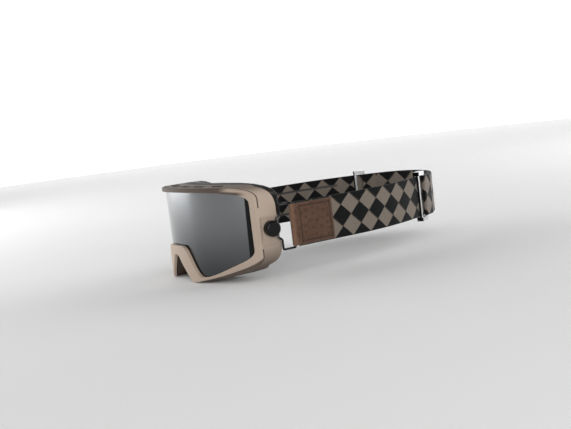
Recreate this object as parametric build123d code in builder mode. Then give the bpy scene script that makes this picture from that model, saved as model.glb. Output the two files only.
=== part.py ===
from build123d import *
import math
import os

# Motorcycle goggles, in millimetres. The goggles face -Y, the wearer's left is +X and the
# strap runs back to +Y. The origin is midway between the two strap knobs, on their axis.

# ---- driving dimensions ----
FRAME_HALF_WIDTH = 85.2
FRAME_TOP = 48.5
WALL = 3.0
LENS_RADIUS = 95.0
LENS_AXIS_Y = 27.5
LENS_THICKNESS = 1.8
LENS_HALF_WIDTH = 83.0
RIM_RADIUS = 93.45
RIM_AXIS_Y = 21.95
FACE_RADIUS = 93.0
FACE_AXIS_Y = 49.0
EAR_BACK = 9.0
EAR_UPPER_BACK = 6.9
EAR_INNER = 79.0
EAR_TAPER = 1.0
FLANGE_THICKNESS = 2.0
RIM_THICKNESS = 1.7
GROOVE_BEHIND_RIM = 3.2
GROOVE_WIDTH = 1.2
GROOVE_DEPTH = 0.6
EDGE_ROUND = 1.4
LENS_EDGE = 1.0
SEAT_CLEARANCE = 0.05
NOSE_ZONE_HALF = 34.0
NOSE_ZONE_TOP = -15.0
VENT_RADIUS = 87.0
VENT_AXIS_Y = 30.0
VENT_WIDTH = 8.0
TOP_VENTS = [(12.0, 8.0), (33.0, 8.0), (53.0, 7.0)]
BOTTOM_VENTS = [(44.0, 5.0), (60.0, 5.0)]

FOAM_LAYERS = {"foam_base": 5.0, "foam_middle": 6.0, "foam_fleece": 2.5}
FOAM_HALF_WIDTH = 72.0
FOAM_REAR = 17.0
EAR_FOAM = 2.0
EAR_FOAM_X = 83.4
EAR_FOAM_GAP = 0.1

KNOB_RADIUS = 8.2
KNOB_BASE = 82.3
KNOB_FACE = 89.6
RECESS_FLOOR = 82.0
RECESS_TOP = 12.4
RECESS_BOTTOM = -17.0
STEM_RADIUS = 3.0
STEM_CLEARANCE = 0.05

WIRE_RADIUS = 1.1
WIRE_CLEARANCE = 0.06
BAIL_X = 87.6
BAIL_PIVOT_Y = 4.5
BAIL_LEG_Y = 8.6
BAIL_BAR_Y = 22.5
BAIL_HALF_HEIGHT = 22.7

STRAP_WIDTH = 45.0
STRAP_THICKNESS = 1.6
PATCH_HEIGHT = 42.5
PATCH_LEATHER = 1.5
PATCH_END_Y = 68.0
STRAP_START_Y = 27.0
STRAP_STRAIGHT_END_Y = 92.0
SIDE_ARC_RADIUS = 230.0
SIDE_ARC_END = 34.0
SLIDER_ANGLE = 28.2
SLIDER_HALF_HEIGHT = 27.5
SLIDER_LENGTH = 14.0
SLIDER_SLOT = 23.2
SLIDER_BAR = 1.6
SLIDER_BAR_OFF = 2.1
SLIDER_REAR = 5.3
REAR_BAR_RADIUS = 0.9
BACK_LIFT = 0.95
TAB_LIFT = 3.2
STRAP_END_ANGLE = 30.0
FOLD_RADIUS = 1.6
FOLD_THICKNESS = 1.0
FOLD_END_ANGLE = 33.6
GRIP_THICKNESS = 0.4
GRIP_END_ANGLE = 21.0

SCREW_RADIUS = 1.25
SCREW_LENGTH = 6.5
SCREW_CLEARANCE = 0.02
SCREW_HEAD_RADIUS = 2.6
SCREW_HEAD_HEIGHT = 1.4
WASHER_RADIUS = 5.4
WASHER_THICKNESS = 1.0
WASHER_GAP = 0.1
WASHER_POCKET_RADIUS = 6.2
WASHER_POCKET_DEPTH = 3.2
RECESS_FLAT = 9.4
RECESS_FRONT = -13.0
RECESS_REACH = 10.0
KNOB_ROUND = 2.2
GRIP_HEIGHTS = (-13.0, 0.0, 13.0)
GRIP_WIDTH = 2.2
BAIL_BENDS = 1.4
BAIL_END = 1.5
VENT_FOAM_THICKNESS = 4.0
VENT_FOAM_OUTER = 91.0
VENT_FOAMS = [
    ("vent_foam_top", 30.0, 60.0, 0.0, 64.0),
    ("vent_foam_bottom", -60.0, -30.0, 36.0, 68.0),
]
SIDES = [("left", 1), ("right", -1)]

FAR = 140.0
OUTLINE_STEPS = 40

# the groove's walls are the rim's front cylinder moved back
GROOVE_FRONT_Y = RIM_AXIS_Y + GROOVE_BEHIND_RIM
GROOVE_REAR_Y = GROOVE_FRONT_Y + GROOVE_WIDTH


# ---- outlines seen from the front (local x is X, local y is Z) ----
with BuildSketch(Plane.XZ) as frame_outline:
    with BuildLine():
        top = Spline(
            (0, FRAME_TOP), (45, 47.6), (74, 44.2), tangents=[(1, 0), (1, -0.28)]
        )
        shoulder = Spline(top @ 1, (FRAME_HALF_WIDTH, 31.0), tangents=[top % 1, (0, -1)])
        side = Line(shoulder @ 1, (FRAME_HALF_WIDTH, -25.0))
        cheek = Spline(
            side @ 1, (75, -39.8), (52, -45.6), (29, -48.2), tangents=[(0, -1), (-1, -0.05)]
        )
        corner = Spline(cheek @ 1, (23.5, -45.2), tangents=[cheek % 1, (-0.64, 0.77)])
        flank = Line(corner @ 1, (9.5, -28.4))
        nose = Spline(flank @ 1, (0, -21.0), tangents=[flank % 1, (-1, 0)])
        mirror(about=Plane.YZ)
    make_face()

with BuildSketch(Plane.XZ) as lens_outline:
    with BuildLine():
        top = Spline(
            (0, 44.6), (44.4, 43.6), (70, 40.0), tangents=[(1, 0), (1, -0.3)]
        )
        shoulder = Spline(top @ 1, (LENS_HALF_WIDTH, 28.0), tangents=[top % 1, (0, -1)])
        side = Line(shoulder @ 1, (LENS_HALF_WIDTH, -18.0))
        cheek = Spline(
            side @ 1, (75, -29.8), (54, -40.0), (43, -42.3), tangents=[(0, -1), (-1, -0.1)]
        )
        corner = TangentArc(cheek @ 1, (35.4, -39.0), tangent=cheek % 1)
        nose = Spline(
            corner @ 1, (24.2, -19.0), (13.0, -11.0), tangents=[corner % 1, (-1, 0)]
        )
        bridge = Line(nose @ 1, (0, -11.0))
        mirror(about=Plane.YZ)
    make_face()

with BuildSketch(Plane.XZ) as eye_outline:
    with BuildLine():
        top = Spline((0, 36.5), (40, 35.0), (58, 29.0), tangents=[(1, 0), (1, -0.6)])
        side = Spline(
            top @ 1, (66.5, 8.0), (58, -22), tangents=[(1, -0.6), (-0.8, -1)]
        )
        cheek = Spline(
            side @ 1, (46, -31.5), (38, -33.0), tangents=[(-0.8, -1), (-1, 0.1)]
        )
        nose = Spline(
            cheek @ 1, (24, -15.0), (0, -7.5), tangents=[(-1, 0.6), (-1, 0)]
        )
        mirror(about=Plane.YZ)
    make_face()

with BuildSketch(Plane.XZ) as foam_outline:
    with BuildLine():
        top = Spline((0, 48.6), (42, 47.8), (66, 42.5), tangents=[(1, 0), (1, -0.6)])
        side = Spline(
            top @ 1, (FOAM_HALF_WIDTH, 8.0), (65, -27), tangents=[(1, -0.6), (-0.7, -1)]
        )
        cheek = Spline(
            side @ 1, (50, -41.5), (30, -46.0), tangents=[(-0.7, -1), (-1, 0)]
        )
        nose = Spline(
            cheek @ 1, (15.5, -32.5), (0, -19.5), tangents=[(-1, 0.8), (-1, 0)]
        )
        mirror(about=Plane.YZ)
    make_face()

# the base foam also backs the upper part of each ear
with BuildSketch(Plane.XZ) as foam_ears:
    with BuildLine():
        over = Spline((60, 43.5), (76, 36.5), (EAR_FOAM_X, 29), tangents=[(1, -0.2), (0.1, -1)])
        Polyline(over @ 1, (EAR_FOAM_X, RECESS_TOP + 1), (70, RECESS_TOP + 1), (60, 43.5))
    make_face()
    mirror(about=Plane.YZ)

# ---- helper solids ----
def upright_cylinder(radius, axis_y):
    """A tall cylinder about a vertical axis on the plane X = 0."""
    with BuildPart() as cylinder:
        with Locations((0, axis_y, 0)):
            Cylinder(radius, 2 * FAR)
    return cylinder.part


def grown(outline, amount):
    """An outline moved outwards by an amount, or inwards if that is negative."""
    face = outline.sketch.face()
    runs = []
    for edge in face.outer_wire().edges():
        along = edge % 0.5
        outwards = 1
        if face.is_inside(edge @ 0.5 + Vector(along.Z, 0, -along.X) * 0.2):
            outwards = -1
        steps = 1 if edge.geom_type == GeomType.LINE else OUTLINE_STEPS
        points = []
        for step in range(steps + 1):
            along = edge % (step / steps)
            point = edge @ (step / steps) + Vector(along.Z, 0, -along.X) * amount * outwards
            points.append((point.X, point.Z))
        runs.append(points)
    # neighbouring runs meet at one point
    for first in runs:
        for second in runs:
            for i, j in ((0, 0), (0, -1), (-1, 0), (-1, -1)):
                if first is not second and math.dist(first[i], second[j]) < 0.5:
                    second[j] = first[i]
    with BuildSketch(Plane.XZ) as result:
        with BuildLine():
            for points in runs:
                if len(points) == 2:
                    Line(*points)
                else:
                    Spline(points)
        make_face()
    return result


def curved_band(outline, grow, outer, inner):
    """An outline, grown or shrunk, extruded through the space between two upright cylinders."""
    with BuildPart() as band:
        with BuildSketch(Plane.XZ):
            add(grown(outline, grow).sketch if grow else outline.sketch)
        extrude(amount=FAR, both=True)
        with Locations((0, outer[1], 0)):
            Cylinder(outer[0], 2 * FAR, mode=Mode.INTERSECT)
        if inner:
            with Locations((0, inner[1], 0)):
                Cylinder(inner[0], 2 * FAR, mode=Mode.SUBTRACT)
    return band.part


def on_rim(edge):
    """True for an edge that lies on the rim's front cylinder."""
    points = [edge @ t for t in (0.1, 0.5, 0.9)]
    reach = [math.hypot(p.X, p.Y - RIM_AXIS_Y) for p in points]
    return all(abs(r - RIM_RADIUS) < 0.01 for r in reach)


with BuildPart() as face_space:
    with Locations((0, FACE_AXIS_Y, 0)):
        Cylinder(FACE_RADIUS, 2 * FAR)
    Box(2 * EAR_INNER, 2 * FAR, 2 * FAR, mode=Mode.INTERSECT)

# the ears' corners, cut away in side view
with BuildPart() as ear_corners:
    with BuildSketch(Plane.YZ):
        with BuildLine():
            low = RadiusArc((EAR_BACK, -16), (-6, -35.5), 18.5)
            Polyline(low @ 1, (-6, -60), (EAR_BACK + 20, -60), (EAR_BACK + 20, -16), low @ 0)
        make_face()
        with BuildLine():
            high = ThreePointArc((-10, 43), (2.2, 34.9), (EAR_UPPER_BACK, 20))
            Polyline(
                high @ 1,
                (EAR_UPPER_BACK, RECESS_TOP),
                (EAR_BACK + 20, RECESS_TOP),
                (EAR_BACK + 20, 60),
                (-10, 60),
                high @ 0,
            )
        make_face()
    extrude(amount=FAR, both=True)

# the rim's underside is higher than the shell's, from below each temple to the nose
with BuildPart() as below_rim:
    with BuildSketch(Plane.XZ):
        with BuildLine():
            line = Spline((87, -20), (81.8, -31.8), (70.6, -37.9), (54, -43.1), (38, -46.4), (26, -49.6))
            Polyline(line @ 1, (26, -70), (100, -70), (100, -20), line @ 0)
        make_face()
        mirror(about=Plane.YZ)
    extrude(amount=FAR, both=True)

# the groove behind the rim, which fades out at mid-height on each side
with BuildPart() as rim_groove:
    with BuildSketch(Plane.XZ):
        add(grown(frame_outline, 2).sketch)
    extrude(amount=FAR, both=True)
    with BuildSketch(Plane.XZ):
        add(grown(frame_outline, -GROOVE_DEPTH).sketch)
    extrude(amount=FAR, both=True, mode=Mode.SUBTRACT)
    add(below_rim.part.moved(Location((0, 0, GROOVE_DEPTH))))
    with Locations((0, GROOVE_FRONT_Y, 0)):
        Cylinder(RIM_RADIUS, 2 * FAR, mode=Mode.INTERSECT)
    with Locations((0, GROOVE_REAR_Y, 0)):
        Cylinder(RIM_RADIUS, 2 * FAR, mode=Mode.SUBTRACT)
    with Locations((FRAME_HALF_WIDTH, 0, 2), (-FRAME_HALF_WIDTH, 0, 2)):
        Box(6, 2 * FAR, 41, mode=Mode.SUBTRACT)
    with Locations((0, 60, 0)):
        Box(2 * FAR, 120, 2 * FAR, mode=Mode.SUBTRACT)

# the hollow between the rim and the rear flange
with BuildPart() as cavity:
    add(
        curved_band(
            frame_outline,
            -WALL,
            (LENS_RADIUS - LENS_THICKNESS - RIM_THICKNESS, LENS_AXIS_Y),
            (FACE_RADIUS + FLANGE_THICKNESS, FACE_AXIS_Y),
        )
    )
    Box(2 * (EAR_INNER - 0.5), 2 * FAR, 2 * FAR, mode=Mode.INTERSECT)
    with Locations((0, FAR, 0)):
        Box(2 * FAR, 2 * FAR, 2 * FAR, mode=Mode.SUBTRACT)

lens_window = curved_band(
    lens_outline,
    0,
    (2 * FAR, LENS_AXIS_Y),
    (LENS_RADIUS - LENS_THICKNESS - RIM_THICKNESS - 0.5, LENS_AXIS_Y),
)
lens_seat = curved_band(
    lens_outline,
    LENS_EDGE + SEAT_CLEARANCE,
    (LENS_RADIUS + SEAT_CLEARANCE, LENS_AXIS_Y),
    (LENS_RADIUS - LENS_THICKNESS - SEAT_CLEARANCE, LENS_AXIS_Y),
)
eye_window = curved_band(
    eye_outline,
    0,
    (FACE_RADIUS + 6, FACE_AXIS_Y),
    None,
)


def face_zone(gap):
    """The part of the frame that belongs to the softer face frame: the rear flange and the
    nose walls."""
    with BuildPart() as zone:
        add(
            curved_band(
                frame_outline,
                -WALL - gap,
                (FACE_RADIUS + FLANGE_THICKNESS + 0.5, FACE_AXIS_Y),
                None,
            )
        )
        Box(2 * (EAR_INNER - gap), 2 * FAR, 2 * FAR, mode=Mode.INTERSECT)
        with BuildPart(mode=Mode.PRIVATE) as nose_zone:
            with Locations((0, GROOVE_REAR_Y, 0)):
                Cylinder(RIM_RADIUS - gap, 2 * FAR)
            with Locations((0, 0, NOSE_ZONE_TOP - gap - FAR)):
                Box(2 * (NOSE_ZONE_HALF - gap), 2 * FAR, 2 * FAR, mode=Mode.INTERSECT)
        add(nose_zone.part)
    return zone.part


# ---- the whole frame, before it is split in two ----
with BuildPart() as whole_frame:
    with BuildSketch(Plane.XZ):
        add(frame_outline.sketch)
    extrude(amount=FAR, both=True)
    with Locations((0, RIM_AXIS_Y, 0)):
        Cylinder(RIM_RADIUS, 2 * FAR, mode=Mode.INTERSECT)
    with Locations((0, EAR_BACK + FAR, 0)):
        Box(2 * FAR, 2 * FAR, 2 * FAR, mode=Mode.SUBTRACT)
    fillet(edges().filter_by(on_rim), radius=EDGE_ROUND)
    with BuildPart(mode=Mode.PRIVATE) as rim_step:
        add(below_rim.part)
        with Locations((0, GROOVE_FRONT_Y + GROOVE_WIDTH / 2, 0)):
            Cylinder(RIM_RADIUS, 2 * FAR, mode=Mode.SUBTRACT)
        with Locations((0, FAR, 0)):
            Box(2 * FAR, 2 * FAR, 2 * FAR, mode=Mode.SUBTRACT)
    add(rim_step.part, mode=Mode.SUBTRACT)
    add(face_space.part, mode=Mode.SUBTRACT)
    add(ear_corners.part, mode=Mode.SUBTRACT)
    add(cavity.part, mode=Mode.SUBTRACT)
    add(lens_window, mode=Mode.SUBTRACT)
    add(lens_seat, mode=Mode.SUBTRACT)
    add(eye_window, mode=Mode.SUBTRACT)
    add(rim_groove.part, mode=Mode.SUBTRACT)
    # vents through the top and the bottom wall
    for x, half_length in TOP_VENTS:
        for side in (1, -1):
            turn = side * math.degrees(math.asin(x / VENT_RADIUS))
            y = VENT_AXIS_Y - math.sqrt(VENT_RADIUS**2 - x**2)
            with Locations(Location((side * x, y, FRAME_TOP - 3), (0, 0, turn))):
                Box(2 * half_length, VENT_WIDTH, 12, mode=Mode.SUBTRACT)
    for x, half_length in BOTTOM_VENTS:
        for side in (1, -1):
            turn = side * math.degrees(math.asin(x / VENT_RADIUS))
            y = VENT_AXIS_Y - math.sqrt(VENT_RADIUS**2 - x**2)
            with Locations(Location((side * x, y, -44), (0, 0, turn))):
                Box(2 * half_length, VENT_WIDTH, 14, mode=Mode.SUBTRACT)
    # knob recesses, open at the back, with the knobs' bores
    for side in (1, -1):
        deep = FRAME_HALF_WIDTH - RECESS_FLOOR
        low_slope = (RECESS_BOTTOM + RECESS_FLAT) / deep
        front_slope = (RECESS_FRONT + RECESS_FLAT) / deep
        with BuildPart(mode=Mode.PRIVATE) as recess:
            with BuildSketch(Plane.XZ):
                Polygon(
                    (side * RECESS_FLOOR, RECESS_TOP),
                    (side * (RECESS_FLOOR + RECESS_REACH), RECESS_TOP),
                    (side * (RECESS_FLOOR + RECESS_REACH), -RECESS_FLAT + RECESS_REACH * low_slope),
                    (side * RECESS_FLOOR, -RECESS_FLAT),
                    align=None,
                )
            extrude(amount=FAR, both=True)
            with BuildSketch(Plane.XY):
                Polygon(
                    (side * RECESS_FLOOR, EAR_BACK + 10),
                    (side * (RECESS_FLOOR + RECESS_REACH), EAR_BACK + 10),
                    (side * (RECESS_FLOOR + RECESS_REACH), -RECESS_FLAT + RECESS_REACH * front_slope),
                    (side * RECESS_FLOOR, -RECESS_FLAT),
                    align=None,
                )
            extrude(amount=FAR, both=True, mode=Mode.INTERSECT)
        add(recess.part, mode=Mode.SUBTRACT)
        # the ear's outer face tapers in towards its rear edge, clear of the bail
        with BuildSketch(Plane.XY):
            Polygon(
                (side * FRAME_HALF_WIDTH, 0),
                (side * (FRAME_HALF_WIDTH + 5), 0),
                (side * (FRAME_HALF_WIDTH + 5), 2 * EAR_BACK),
                (side * (FRAME_HALF_WIDTH - 2 * EAR_TAPER), 2 * EAR_BACK),
                align=None,
            )
        extrude(amount=FAR, both=True, mode=Mode.SUBTRACT)
        with Locations(Location((side * RECESS_FLOOR, 0, 0), (0, 90, 0))):
            Cylinder(STEM_RADIUS + STEM_CLEARANCE, 12, mode=Mode.SUBTRACT)
        pocket_x = EAR_INNER - WASHER_POCKET_DEPTH / 2
        with Locations(Location((side * pocket_x, 0, 0), (0, 90, 0))):
            Cylinder(WASHER_POCKET_RADIUS, WASHER_POCKET_DEPTH, mode=Mode.SUBTRACT)

os.makedirs("parts", exist_ok=True)


def save(part, name):
    part.label = name
    export_step(part, f"parts/{name}.step")
    print(name, round(part.volume), len(part.solids()), part.is_valid)


with BuildPart() as frame_shell:
    add(whole_frame.part)
    add(face_zone(0), mode=Mode.SUBTRACT)
save(frame_shell.part, "frame_shell")

with BuildPart() as face_frame:
    add(whole_frame.part)
    add(face_zone(SEAT_CLEARANCE), mode=Mode.INTERSECT)
save(face_frame.part, "face_frame")

with BuildPart() as lens:
    add(
        curved_band(
            lens_outline,
            LENS_EDGE,
            (LENS_RADIUS, LENS_AXIS_Y),
            (LENS_RADIUS - LENS_THICKNESS, LENS_AXIS_Y),
        )
    )
    with Locations((0, FAR, 0)):
        Box(2 * FAR, 2 * FAR, 2 * FAR, mode=Mode.SUBTRACT)
save(lens.part, "lens")

# ---- vent foams, against the inside of the top and bottom walls ----
for name, low, high, near, far in VENT_FOAMS:
    with BuildPart() as vent_foam:
        add(
            curved_band(
                frame_outline,
                -WALL - SEAT_CLEARANCE,
                (VENT_FOAM_OUTER, VENT_AXIS_Y),
                (FACE_RADIUS + FLANGE_THICKNESS + 1, FACE_AXIS_Y),
            )
        )
        with BuildSketch(Plane.XZ):
            add(grown(frame_outline, -WALL - VENT_FOAM_THICKNESS).sketch)
        extrude(amount=FAR, both=True, mode=Mode.SUBTRACT)
        with Locations((0, -FAR / 2, (low + high) / 2)):
            Box(2 * far, FAR, high - low, mode=Mode.INTERSECT)
        if near:
            Box(2 * near, 2 * FAR, 2 * FAR, mode=Mode.SUBTRACT)
    save(vent_foam.part, name)

# ---- face foam, three layers on the face frame ----
layer_radius = FACE_RADIUS - SEAT_CLEARANCE
for name, thickness in FOAM_LAYERS.items():
    with BuildPart() as foam:
        with BuildSketch(Plane.XZ):
            add(foam_outline.sketch)
            if name == "foam_base":
                add(foam_ears.sketch)
        extrude(amount=FAR, both=True)
        with BuildSketch(Plane.XZ):
            add(eye_outline.sketch)
        extrude(amount=FAR, both=True, mode=Mode.SUBTRACT)
        with Locations((0, FACE_AXIS_Y, 0)):
            Cylinder(layer_radius, 2 * FAR, mode=Mode.INTERSECT)
            Cylinder(layer_radius - thickness, 2 * FAR, mode=Mode.SUBTRACT)
        rear = EAR_BACK + EAR_FOAM if name == "foam_base" else FOAM_REAR
        with Locations((0, rear + FAR, 0)):
            Box(2 * FAR, 2 * FAR, 2 * FAR, mode=Mode.SUBTRACT)
        if name == "foam_base":
            # only a thin layer of it passes behind the ears
            with BuildPart(mode=Mode.PRIVATE) as ears:
                ear_half = FAR / 2 + EAR_INNER - SEAT_CLEARANCE
                ear_y = EAR_BACK + SEAT_CLEARANCE - FAR
                with Locations((ear_half, ear_y, 0), (-ear_half, ear_y, 0)):
                    Box(FAR, 2 * FAR, 2 * FAR)
                add(
                    ear_corners.part.moved(Location((0, EAR_FOAM_GAP, EAR_FOAM_GAP))),
                    mode=Mode.SUBTRACT,
                )
            add(ears.part, mode=Mode.SUBTRACT)
    save(foam.part, name)
    layer_radius -= thickness + SEAT_CLEARANCE

# ---- knobs with their screws and washers ----
for name, side in SIDES:
    across = (0, 90 * side, 0)
    with BuildPart() as knob:
        with BuildSketch(Plane.YZ.offset(side * KNOB_BASE)):
            Circle(KNOB_RADIUS)
        extrude(amount=side * (KNOB_FACE - KNOB_BASE))
        fillet(edges().group_by(Axis.X)[-1 if side > 0 else 0], radius=KNOB_ROUND)
        with BuildSketch(Plane.YZ.offset(side * (EAR_INNER - 0.05))):
            Circle(STEM_RADIUS)
        extrude(amount=side * (KNOB_BASE - EAR_INNER + 0.1))
        # the bail's bore runs upright through the knob
        with Locations((side * BAIL_X, BAIL_PIVOT_Y, 0)):
            Cylinder(WIRE_RADIUS + WIRE_CLEARANCE, 3 * KNOB_RADIUS, mode=Mode.SUBTRACT)
        with Locations(Location((side * (EAR_INNER + 2), 0, 0), across)):
            Cylinder(SCREW_RADIUS + SCREW_CLEARANCE, 8, mode=Mode.SUBTRACT)
    save(knob.part, f"knob_{name}")

    with BuildPart() as washer:
        with BuildSketch(Plane.YZ.offset(side * (EAR_INNER - WASHER_GAP))):
            Circle(WASHER_RADIUS)
            Circle(SCREW_RADIUS + SCREW_CLEARANCE, mode=Mode.SUBTRACT)
        extrude(amount=-side * WASHER_THICKNESS)
    save(washer.part, f"knob_washer_{name}")

    under_head = EAR_INNER - WASHER_GAP - WASHER_THICKNESS
    with BuildPart() as screw:
        with BuildSketch(Plane.YZ.offset(side * under_head)):
            Circle(SCREW_HEAD_RADIUS)
        extrude(amount=-side * SCREW_HEAD_HEIGHT)
        fillet(edges().group_by(Axis.X)[0 if side > 0 else -1], radius=0.5)
        with BuildSketch(Plane.YZ.offset(side * under_head)):
            Circle(SCREW_RADIUS)
        extrude(amount=side * SCREW_LENGTH)
        with BuildSketch(Plane.YZ.offset(side * (under_head - SCREW_HEAD_HEIGHT))):
            Rectangle(3.4, 0.6)
            Rectangle(0.6, 3.4)
        extrude(amount=side * 0.7, mode=Mode.SUBTRACT)
    save(screw.part, f"knob_screw_{name}")

# ---- wire bails: both ends in the knob, the bar inside the leather ----
for name, side in SIDES:
    half = [
        (BAIL_PIVOT_Y, BAIL_END),
        (BAIL_PIVOT_Y, KNOB_RADIUS + 1.4),
        (BAIL_LEG_Y, KNOB_RADIUS + 4.4),
        (BAIL_LEG_Y, BAIL_HALF_HEIGHT),
        (BAIL_BAR_Y, BAIL_HALF_HEIGHT),
    ]
    with BuildPart() as bail:
        with BuildLine(Plane.YZ.offset(side * BAIL_X)) as wire:
            FilletPolyline(*half, *[(y, -z) for y, z in reversed(half)], radius=BAIL_BENDS)
        with BuildSketch(Plane.XY.offset(BAIL_END)):
            with Locations((side * BAIL_X, BAIL_PIVOT_Y)):
                Circle(WIRE_RADIUS)
        sweep(path=wire.wires()[0])
    save(bail.part, f"bail_{name}")

# ---- strap path, seen from above: straight, a wide arc at the side, a tight arc behind ----
side_centre_x = BAIL_X - SIDE_ARC_RADIUS
arc_end = math.radians(SIDE_ARC_END)
back_radius = (side_centre_x + SIDE_ARC_RADIUS * math.cos(arc_end)) / math.cos(arc_end)
back_centre_y = STRAP_STRAIGHT_END_Y + (SIDE_ARC_RADIUS - back_radius) * math.sin(arc_end)


def side_point(angle, off, side):
    """A point on the side arc, at an angle from straight back, off outwards from it."""
    x = side_centre_x + (SIDE_ARC_RADIUS + off) * math.cos(math.radians(angle))
    y = STRAP_STRAIGHT_END_Y + (SIDE_ARC_RADIUS + off) * math.sin(math.radians(angle))
    return (side * x, y)


def back_point(angle, off, side):
    """A point on the back arc, where 90 degrees is the middle of the back."""
    x = (back_radius + off) * math.cos(math.radians(angle))
    return (side * x, back_centre_y + (back_radius + off) * math.sin(math.radians(angle)))


def arc_band(stretches, thickness, height, z=0.0):
    """An upright band along arcs, each given as (point function, start and end angle,
    start and end offset, side), after a straight start where one is given."""
    with BuildPart() as band:
        with BuildSketch(Plane.XY.offset(z - height / 2)):
            with BuildLine():
                ends = []
                for face in (-thickness / 2, thickness / 2):
                    corners = []
                    for at, start, end, off, end_off, side in stretches:
                        if at is None:
                            x = side * (BAIL_X + off + face)
                            Line((x, start), (x, end))
                            corners += [(x, start), (x, end)]
                            continue
                        a = at(start, off + face, side)
                        b = at((start + end) / 2, (off + end_off) / 2 + face, side)
                        c = at(end, end_off + face, side)
                        ThreePointArc(a, b, c)
                        corners += [a, c]
                    ends.append((corners[0], corners[-1]))
                Line(ends[0][0], ends[1][0])
                Line(ends[0][1], ends[1][1])
            make_face()
        extrude(amount=height)
    return band.part


# ---- strap halves: each ends past the other side's slider ----
for name, side in SIDES:
    # the left half lies inside the right one round the back
    lap = -side
    stretches = [
        (None, STRAP_START_Y, STRAP_STRAIGHT_END_Y, 0, 0, side),
        (side_point, 0, SIDE_ARC_END, 0, 0, side),
        (back_point, SIDE_ARC_END, 90, 0, lap * BACK_LIFT, side),
        (back_point, 90, SIDE_ARC_END, lap * BACK_LIFT, lap * TAB_LIFT, -side),
        (side_point, SIDE_ARC_END, STRAP_END_ANGLE, lap * TAB_LIFT, lap * TAB_LIFT, -side),
    ]
    save(arc_band(stretches, STRAP_THICKNESS, STRAP_WIDTH), f"strap_half_{name}")

# ---- silicone grip lines inside each half ----
for name, side in SIDES:
    grip_off = -STRAP_THICKNESS / 2 - GRIP_THICKNESS / 2 - SEAT_CLEARANCE
    with BuildPart() as grip:
        for z in GRIP_HEIGHTS:
            stretches = [
                (None, PATCH_END_Y + 5, STRAP_STRAIGHT_END_Y, grip_off, 0, side),
                (side_point, 0, GRIP_END_ANGLE, grip_off, grip_off, side),
            ]
            add(arc_band(stretches, GRIP_THICKNESS, GRIP_WIDTH, z))
    save(grip.part, f"grip_lines_{name}")

# ---- leather patches, folded round the bail's bar and over the strap's end ----
for name, side in SIDES:
    bore = WIRE_RADIUS + WIRE_CLEARANCE
    outer = bore + PATCH_LEATHER
    pocket = STRAP_THICKNESS / 2 + SEAT_CLEARANCE
    with BuildPart() as patch:
        with BuildSketch(Plane.XY.offset(-PATCH_HEIGHT / 2)):
            with Locations((side * BAIL_X, BAIL_BAR_Y)):
                Circle(outer)
                Polygon(
                    (-outer, 0),
                    (outer, 0),
                    (pocket + PATCH_LEATHER, STRAP_START_Y - BAIL_BAR_Y),
                    (pocket + PATCH_LEATHER, PATCH_END_Y - BAIL_BAR_Y),
                    (-pocket - PATCH_LEATHER, PATCH_END_Y - BAIL_BAR_Y),
                    (-pocket - PATCH_LEATHER, STRAP_START_Y - BAIL_BAR_Y),
                    align=None,
                )
                Circle(bore, mode=Mode.SUBTRACT)
                Polygon(
                    (-bore / 2, 0),
                    (bore / 2, 0),
                    (pocket, STRAP_START_Y - BAIL_BAR_Y - 0.6),
                    (pocket, PATCH_END_Y - BAIL_BAR_Y + 1),
                    (-pocket, PATCH_END_Y - BAIL_BAR_Y + 1),
                    (-pocket, STRAP_START_Y - BAIL_BAR_Y - 0.6),
                    align=None,
                    mode=Mode.SUBTRACT,
                )
        extrude(amount=PATCH_HEIGHT)
    save(patch.part, f"patch_{name}")

# ---- sliders: the strap runs between the bars, the rear bar holds the other half ----
for name, side in SIDES:
    with BuildPart() as slider:
        with Locations(
            Location((side_centre_x, STRAP_STRAIGHT_END_Y, 0), (0, 0, SLIDER_ANGLE))
        ):
            for off in (-SLIDER_BAR_OFF, SLIDER_BAR_OFF):
                with Locations((SIDE_ARC_RADIUS + off, -5.2, 0)):
                    Box(SLIDER_BAR, 3.6, 2 * SLIDER_HALF_HEIGHT)
            with Locations((SIDE_ARC_RADIUS + side * TAB_LIFT, SLIDER_REAR, 0)):
                Cylinder(REAR_BAR_RADIUS, 2 * SLIDER_HALF_HEIGHT)
            cheek_z = (SLIDER_HALF_HEIGHT + SLIDER_SLOT) / 2
            cheek_off = side * (TAB_LIFT + REAR_BAR_RADIUS - SLIDER_BAR_OFF - SLIDER_BAR / 2) / 2
            for z in (-cheek_z, cheek_z):
                with Locations((SIDE_ARC_RADIUS + cheek_off, 0, z)):
                    Box(
                        2 * SLIDER_BAR_OFF + SLIDER_BAR + 2 * abs(cheek_off),
                        SLIDER_LENGTH,
                        SLIDER_HALF_HEIGHT - SLIDER_SLOT,
                    )
        if side < 0:
            mirror(about=Plane.YZ, mode=Mode.REPLACE)
    save(slider.part, f"slider_{name}")

# ---- the sewn ends of the halves, folded round the sliders' rear bars ----
rear_angle = SLIDER_ANGLE + math.degrees(SLIDER_REAR / SIDE_ARC_RADIUS)
for name, side in SIDES:
    lift = side * TAB_LIFT
    with BuildPart() as fold:
        for leg in (-1, 1):
            off = lift + leg * FOLD_RADIUS
            add(
                arc_band(
                    [(side_point, rear_angle, FOLD_END_ANGLE, off, off, side)],
                    FOLD_THICKNESS,
                    STRAP_WIDTH,
                )
            )
        x, y = side_point(rear_angle, lift, 1)
        with BuildSketch(Plane.XY.offset(-STRAP_WIDTH / 2)):
            with Locations(Location((side * x, y, 0), (0, 0, side * rear_angle))):
                Circle(FOLD_RADIUS + FOLD_THICKNESS / 2)
                Circle(FOLD_RADIUS - FOLD_THICKNESS / 2, mode=Mode.SUBTRACT)
                with Locations((0, 5)):
                    Rectangle(20, 10, mode=Mode.SUBTRACT)
        extrude(amount=STRAP_WIDTH)
    save(fold.part, f"strap_fold_{name}")
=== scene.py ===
import math

import bmesh
import bpy
import numpy as np
from mathutils import Matrix, Vector


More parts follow.
